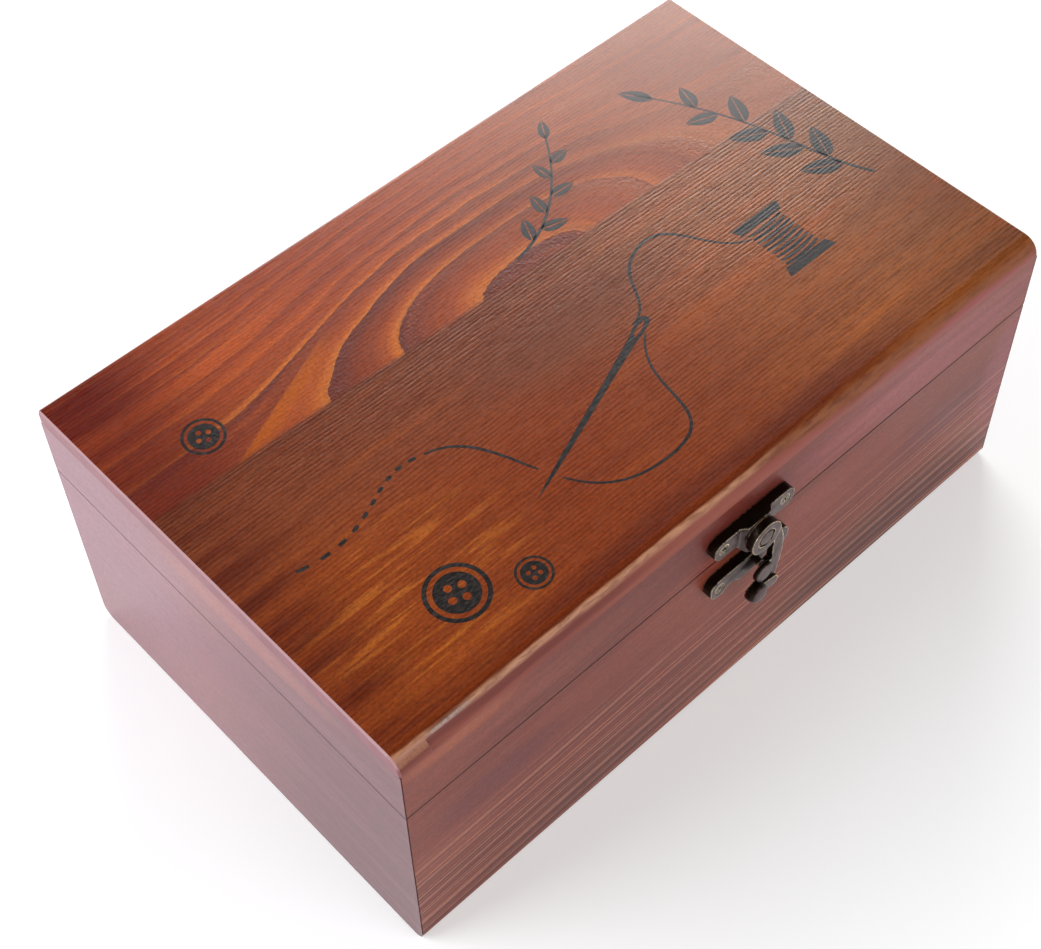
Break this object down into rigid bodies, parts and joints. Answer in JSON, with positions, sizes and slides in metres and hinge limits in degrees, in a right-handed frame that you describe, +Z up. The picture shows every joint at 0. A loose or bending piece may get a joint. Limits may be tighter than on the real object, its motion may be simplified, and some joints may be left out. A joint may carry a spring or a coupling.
{
  "type": "wooden sewing box",
  "caption": "Low rectangular wooden sewing box with a flat hinged lid, a bronze swing-hook latch on the front and divided compartments inside.",
  "frame": {"origin": "middle of the box's underside, on the surface that it stands on", "axes": "+X along the box's length to the viewer's right, -Y out of the front with the latch, +Z up"},
  "size_m": [0.216, 0.1483, 0.0889],
  "materials": {
    "top_stain": "red-brown stained pine, satin varnish",
    "front_stain": "rose-brown stained pine, satin varnish",
    "inner_pine": "lightly stained pine, matt",
    "antique_bronze": "antique bronze, worn bright on the edges",
    "screw_steel": "bronze-plated steel, worn on the rims"
  },
  "bodies": {
    "base": {"base_front_board": "front_stain", "base_back_board": "front_stain", "base_left_board": "front_stain", "base_right_board": "front_stain", "base_bottom_panel": "inner_pine", "long_divider": "inner_pine", "short_divider_left": "inner_pine", "short_divider_right": "inner_pine", "keeper_plate": "antique_bronze", "keeper_stud": "antique_bronze", "keeper_screws": "screw_steel", "hinge_leaf_base_left": "antique_bronze", "hinge_leaf_base_right": "antique_bronze", "hinge_pin_left": "screw_steel", "hinge_pin_right": "screw_steel", "hinge_screws_base": "screw_steel"},
    "lid": {"lid_front_board": "front_stain", "lid_back_board": "front_stain", "lid_left_board": "front_stain", "lid_right_board": "front_stain", "lid_top_board": "top_stain", "hook_plate": "antique_bronze", "hook_plate_screws": "screw_steel", "hook_rivet": "antique_bronze", "hinge_leaf_lid_left": "antique_bronze", "hinge_leaf_lid_right": "antique_bronze", "hinge_screws_lid": "screw_steel"},
    "latch_hook": {"latch_hook": "antique_bronze"}
  },
  "joints": [
    {"name": "lid_hinge", "type": "hinge", "parent": "base", "child": "lid", "pos_m": [0, 0.06835, 0.0651], "axis": [-1, 0, 0], "range_deg": [0, 100]},
    {"name": "latch_swing", "type": "hinge", "parent": "lid", "child": "latch_hook", "pos_m": [0, -0.07125, 0.072], "axis": [0, -1, 0], "range_deg": [-10, 110]}
  ]
}
